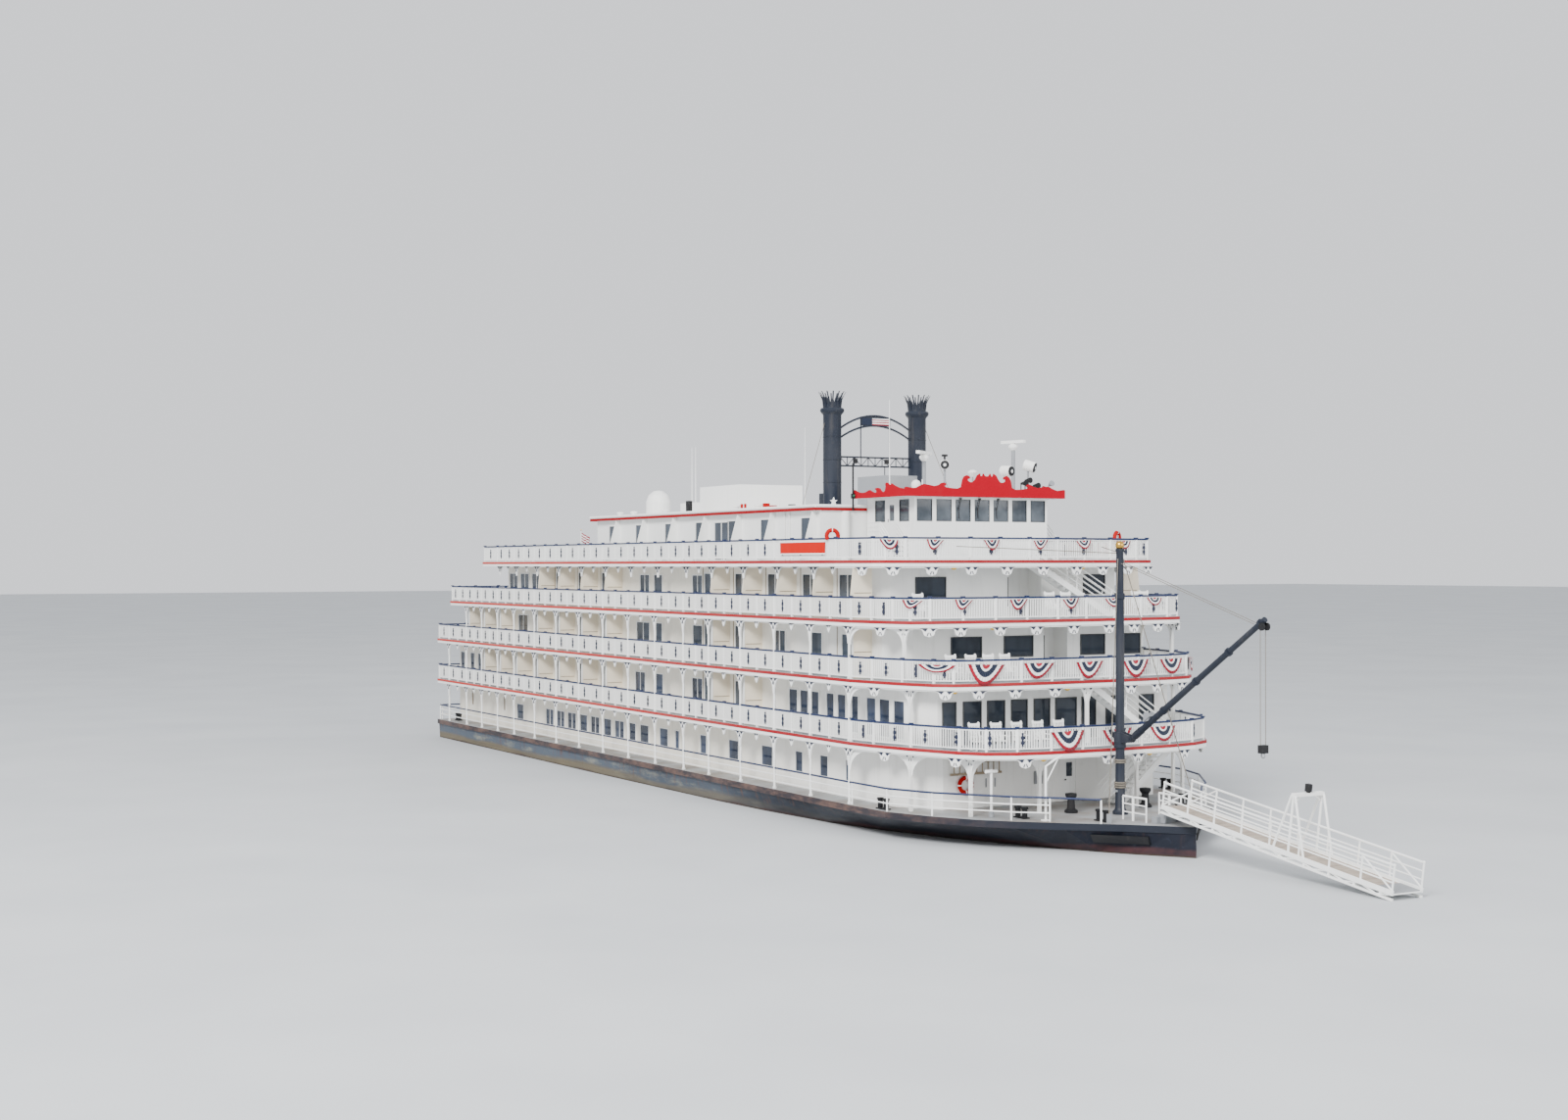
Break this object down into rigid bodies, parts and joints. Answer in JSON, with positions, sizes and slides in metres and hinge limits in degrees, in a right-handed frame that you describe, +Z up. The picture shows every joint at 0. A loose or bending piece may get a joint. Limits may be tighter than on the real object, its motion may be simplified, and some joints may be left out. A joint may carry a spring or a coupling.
{
  "type": "sternwheel paddle boat, 1:10 scale model",
  "caption": "Sternwheel riverboat with galleried decks, pilothouse with a crest board, tall stacks, mast and boom, and a bow landing stage.",
  "frame": {"origin": "on the flat bottom of the hull, on the centreline, at the middle of the whole length from wheel to landing stage", "axes": "+X to the bow, +Y to port, +Z up"},
  "size_m": [9.0619, 1.759, 2.3255],
  "materials": {
    "white_paint": "satin warm white paint",
    "hull_paint": "dark hull paint, rusty at the guard and faded aft",
    "red_paint": "bright red gloss paint",
    "wheel_red": "red paint, worn and wet at the buckets",
    "charcoal_paint": "dark charcoal blue paint",
    "dark_trim": "dark matt finish",
    "grey_steel": "grey paint",
    "warm_white_paint": "warm cream paint on cabin partitions",
    "navy_paint": "navy blue gloss paint",
    "edge_red_paint": "red stripe paint, fading to salmon aft",
    "deck_grey_paint": "worn grey deck paint",
    "tan_paint": "tan non-slip walkway paint",
    "window_glass": "dark reflective window glass",
    "clear_glass": "clear glass, pilothouse and doors",
    "brass": "polished brass trim",
    "timber": "varnished timber",
    "wire_rope": "dark wire rope, taut",
    "amber_lens": "amber lamp lens",
    "bunting_cloth": "red, white and navy bunting cloth, matt weave"
  },
  "bodies": {
    "boat": {"hull": "hull_paint", "deck2": "white_paint", "deck3": "white_paint", "deck4": "white_paint", "deck5": "white_paint", "main_house": "white_paint", "deck2_house": "white_paint", "deck3_house": "white_paint", "deck4_house": "white_paint", "sun_deck_house": "white_paint", "sun_deck_roof": "white_paint", "main_deck_side_frame_starboard": "white_paint", "main_deck_side_frame_port": "white_paint", "deck2_side_frame_starboard": "white_paint", "deck2_side_frame_port": "white_paint", "deck3_side_frame_starboard": "white_paint", "deck3_side_frame_port": "white_paint", "deck2_front_rail": "white_paint", "deck2_stern_rail": "white_paint", "deck3_front_rail": "white_paint", "deck3_stern_rail": "white_paint", "deck4_rail": "white_paint", "deck5_rail": "white_paint", "main_deck_bow_rail_starboard": "white_paint", "main_deck_bow_rail_port": "white_paint", "main_deck_stern_rail": "white_paint", "stair_main_deck_to_deck2": "white_paint", "stair_deck2_to_deck3": "white_paint", "stair_deck4_to_deck5": "white_paint", "pilothouse": "white_paint", "pilothouse_console": "dark_trim", "pilothouse_steps_starboard": "white_paint", "pilothouse_steps_port": "white_paint", "pilothouse_roof": "white_paint", "pilothouse_crest": "red_paint", "stack_starboard": "charcoal_paint", "stack_port": "charcoal_paint", "stack_spreader": "charcoal_paint", "roof_plant_house": "white_paint", "roof_screen_box": "grey_steel", "roof_dome": "white_paint", "radar_aft": "white_paint", "radar_forward": "white_paint", "mast": "charcoal_paint", "stage_heel": "grey_steel", "wheel_beam_starboard": "white_paint", "wheel_beam_port": "white_paint"},
    "boom_swivel": {"boom_swivel": "charcoal_paint"},
    "boom": {"boom": "charcoal_paint"},
    "landing_stage": {"landing_stage": "white_paint"},
    "paddle_wheel": {"paddle_wheel": "wheel_red"},
    "rudder_starboard": {"rudder_starboard": "hull_paint"},
    "rudder_port": {"rudder_port": "hull_paint"},
    "pilothouse_door_starboard": {"pilothouse_door_starboard": "white_paint"},
    "pilothouse_door_port": {"pilothouse_door_port": "white_paint"},
    "main_deck_door": {"main_deck_door": "white_paint"}
  },
  "joints": [
    {"name": "paddle_wheel_turn", "type": "hinge", "parent": "boat", "child": "paddle_wheel", "pos_m": [-4.226, 0, 0.41], "axis": [0, 1, 0], "continuous": true},
    {"name": "rudder_starboard_turn", "type": "hinge", "parent": "boat", "child": "rudder_starboard", "pos_m": [-3.716, -0.24, 0.105], "axis": [0, 0, 1], "range_deg": [-35, 35]},
    {"name": "rudder_port_turn", "type": "hinge", "parent": "boat", "child": "rudder_port", "pos_m": [-3.716, 0.24, 0.105], "axis": [0, 0, 1], "range_deg": [-35, 35]},
    {"name": "boom_slew", "type": "hinge", "parent": "boat", "child": "boom_swivel", "pos_m": [2.849, 0, 0.635], "axis": [0, 0, 1], "range_deg": [-75, 75]},
    {"name": "boom_luff", "type": "hinge", "parent": "boom_swivel", "child": "boom", "pos_m": [2.929, 0, 0.643], "axis": [0, -1, 0], "range_deg": [-10, 30]},
    {"name": "landing_stage_hinge", "type": "hinge", "parent": "boat", "child": "landing_stage", "pos_m": [3.219, 0, 0.365], "axis": [0, -1, 0], "range_deg": [-5, 20]},
    {"name": "pilothouse_door_starboard_swing", "type": "hinge", "parent": "boat", "child": "pilothouse_door_starboard", "pos_m": [1.6194, -0.395, 1.625], "axis": [0, 0, 1], "range_deg": [0, 90]},
    {"name": "pilothouse_door_port_swing", "type": "hinge", "parent": "boat", "child": "pilothouse_door_port", "pos_m": [1.6194, 0.395, 1.625], "axis": [0, 0, -1], "range_deg": [0, 90]},
    {"name": "main_deck_door_swing", "type": "hinge", "parent": "boat", "child": "main_deck_door", "pos_m": [2.344, 0.1414, 0.405], "axis": [0, 0, 1], "range_deg": [0, 90]}
  ],
  "couplings": [
    {"joint": "rudder_port_turn", "follows": "rudder_starboard_turn", "ratio": 1}
  ]
}
